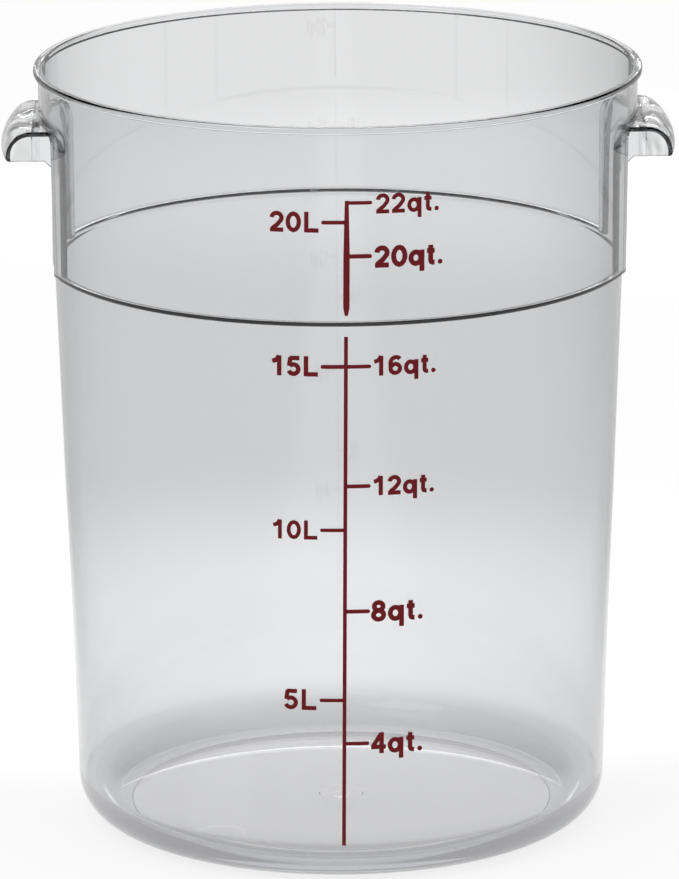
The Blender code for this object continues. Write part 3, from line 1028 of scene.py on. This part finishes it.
def stage_world():
    """White to the eye, and a soft even light on the object."""
    world = bpy.data.worlds.new("studio")
    world.use_nodes = True
    tree = world.node_tree
    tree.nodes.clear()
    direction = parts(tree, tree.nodes.new("ShaderNodeTexCoord").outputs["Generated"])
    ceiling = ramp(tree, direction["Z"], *CEILING_BAND, 1.0, CEILING_TONE)
    tone = calculated(tree, "MULTIPLY", ceiling, side_shade(tree, direction["X"], *SIDE_IN_WORLD))
    seen = fed_node(tree, "ShaderNodeBackground", Color=tone)
    light = fed_node(tree, "ShaderNodeBackground", Strength=WORLD_LIGHT)
    mix = tree.nodes.new("ShaderNodeMixShader")
    tree.links.new(seen_rays(tree), mix.inputs["Fac"])
    tree.links.new(light.outputs[0], mix.inputs[1])
    tree.links.new(seen.outputs[0], mix.inputs[2])
    leave = tree.nodes.new("ShaderNodeOutputWorld")
    tree.links.new(mix.outputs[0], leave.inputs["Surface"])
    bpy.context.scene.world = world


def area_light(name, place, size, watts):
    """A soft light that faces the object's middle."""
    data = bpy.data.lights.new(name, "AREA")
    data.energy = watts
    data.shape = "RECTANGLE"
    data.size, data.size_y = size
    made = new_object(name, data)
    made.location = place
    aim = Vector((0, 0, HEIGHT / 2)) - Vector(place)
    made.rotation_euler = aim.to_track_quat("-Z", "Y").to_euler()


def camera(stage):
    """The camera at the photograph's angle."""
    data = bpy.data.cameras.new("camera")
    data.sensor_width = CAMERA_SENSOR
    data.lens = CAMERA_LENS
    made = new_object("camera", data)
    turn = Matrix.Rotation(stage.camera_turn, 4, "Z")
    tilt = Matrix.Rotation(pi / 2 - stage.camera_pitch, 4, "X")
    back = Matrix.Translation((0, 0, stage.camera_distance))
    roll = Matrix.Rotation(stage.camera_roll, 4, "Z")
    made.matrix_world = Matrix.Translation((0, 0, CAMERA_AIM_HEIGHT)) @ turn @ tilt @ back @ roll
    bpy.context.scene.camera = made


class CONTAINER_OT_finishes(bpy.types.Operator):
    """Make the materials of the plastic and the ink"""

    bl_idname = "container.finishes"
    bl_label = "Materials"

    def execute(self, context):
        fine_scuffs()
        mould_waves()
        clear_polycarbonate(context.scene.container_finishes)
        scale_ink(context.scene.container_finishes)
        return {"FINISHED"}


class CONTAINER_OT_tub(bpy.types.Operator):
    """Make the clear moulding with its collar, recesses and hood handles"""

    bl_idname = "container.tub"
    bl_label = "Clear tub"

    def execute(self, context):
        body = tub_body(context.scene.container_tub, context.scene.container_handles)
        attach(body, "tub_plastic")
        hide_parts("container_body")
        return {"FINISHED"}


class CONTAINER_OT_stems(bpy.types.Operator):
    """Print the two stems of the scale, on the lower wall and on the collar"""

    bl_idname = "container.stems"
    bl_label = "Scale stems"

    def execute(self, context):
        tub, ink = context.scene.container_tub, context.scene.container_print
        half = ink.stem_width / 2
        wide = half + ink.stem_swell / 2
        widths = {"lower_scale_stem": ([half] * 2, 0), "upper_scale_stem": ([wide, wide, half], STEM_TIP)}
        for node, (half_widths, tip) in widths.items():
            low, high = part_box(node)
            pairs = stem_pairs(low[2], high[2], half_widths, tip)
            made = printed("printed_" + node, [(pairs, False)], tub, ink)
            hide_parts(node)
        return {"FINISHED"}


class CONTAINER_OT_marks(bpy.types.Operator):
    """Print a tick and its label for every volume of the scale"""

    bl_idname = "container.marks"
    bl_label = "Ticks and labels"

    def execute(self, context):
        tub, ink = context.scene.container_tub, context.scene.container_print
        for node, (text, start, rise, size, weight) in MARKS.items():
            low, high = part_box(node)
            height = (low[2] + high[2]) / 2
            side = 1 if start > 0 else -1
            tick = moved(tick_strokes(side, ink.tick_reach, ink.tick_width * weight), 0, height)
            made = printed("printed_" + node, tick, tub, ink)
            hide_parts(node)
            strokes, text_length = text_strokes(text, ink.digit_height * size, ink.stroke * weight)
            across = start if side > 0 else start - text_length
            printed("label_" + node, moved(strokes, across, height + rise), tub, ink)
        return {"FINISHED"}


class CONTAINER_OT_stage(bpy.types.Operator):
    """Set up the floor, the light and the camera"""

    bl_idname = "container.stage"
    bl_label = "Studio stage"

    def execute(self, context):
        stage = context.scene.container_stage
        context.scene.view_settings.view_transform = "Standard"
        mesh = bpy.data.meshes.new("floor")
        corners = [(-1, -1), (1, -1), (1, 1), (-1, 1)]
        mesh.from_pydata([(x * FLOOR_HALF, y * FLOOR_HALF, -FLOOR_DEPTH) for x, y in corners], [],
                         [(0, 1, 2, 3)])
        floor = new_object("floor", mesh)
        mesh.materials.append(floor_material(stage))
        stage_world()
        for name, (place, size) in LAMPS.items():
            area_light(name, place, size, getattr(stage, name + "_power"))
        camera(stage)
        return {"FINISHED"}


class CONTAINER_PT_panel(bpy.types.Panel):
    """Lists the container's operators"""

    bl_label = "Food storage container"
    bl_idname = "CONTAINER_PT_panel"
    bl_space_type = "VIEW_3D"
    bl_region_type = "UI"
    bl_category = "Container"

    def draw(self, context):
        for operator in OPERATORS:
            self.layout.operator(operator.bl_idname)


SETTINGS = {
    "container_tub": TubSizes,
    "container_handles": HandleSizes,
    "container_print": PrintSizes,
    "container_finishes": Finishes,
    "container_stage": StageSettings,
}
OPERATORS = (CONTAINER_OT_finishes, CONTAINER_OT_tub, CONTAINER_OT_stems, CONTAINER_OT_marks,
             CONTAINER_OT_stage)


def register():
    """Register the settings, the operators and the panel."""
    for group in SETTINGS.values():
        bpy.utils.register_class(group)
    for name, group in SETTINGS.items():
        setattr(bpy.types.Scene, name, PointerProperty(type=group))
    for operator in OPERATORS:
        bpy.utils.register_class(operator)
    bpy.utils.register_class(CONTAINER_PT_panel)


def unregister():
    """Undo what register does."""
    bpy.utils.unregister_class(CONTAINER_PT_panel)
    for operator in reversed(OPERATORS):
        bpy.utils.unregister_class(operator)
    for name, group in SETTINGS.items():
        delattr(bpy.types.Scene, name)
        bpy.utils.unregister_class(group)


def main():
    """Build the container and its stage."""
    register()
    bpy.ops.container.finishes()
    bpy.ops.container.tub()
    bpy.ops.container.stems()
    bpy.ops.container.marks()
    bpy.ops.container.stage()


if __name__ == "__main__":
    main()
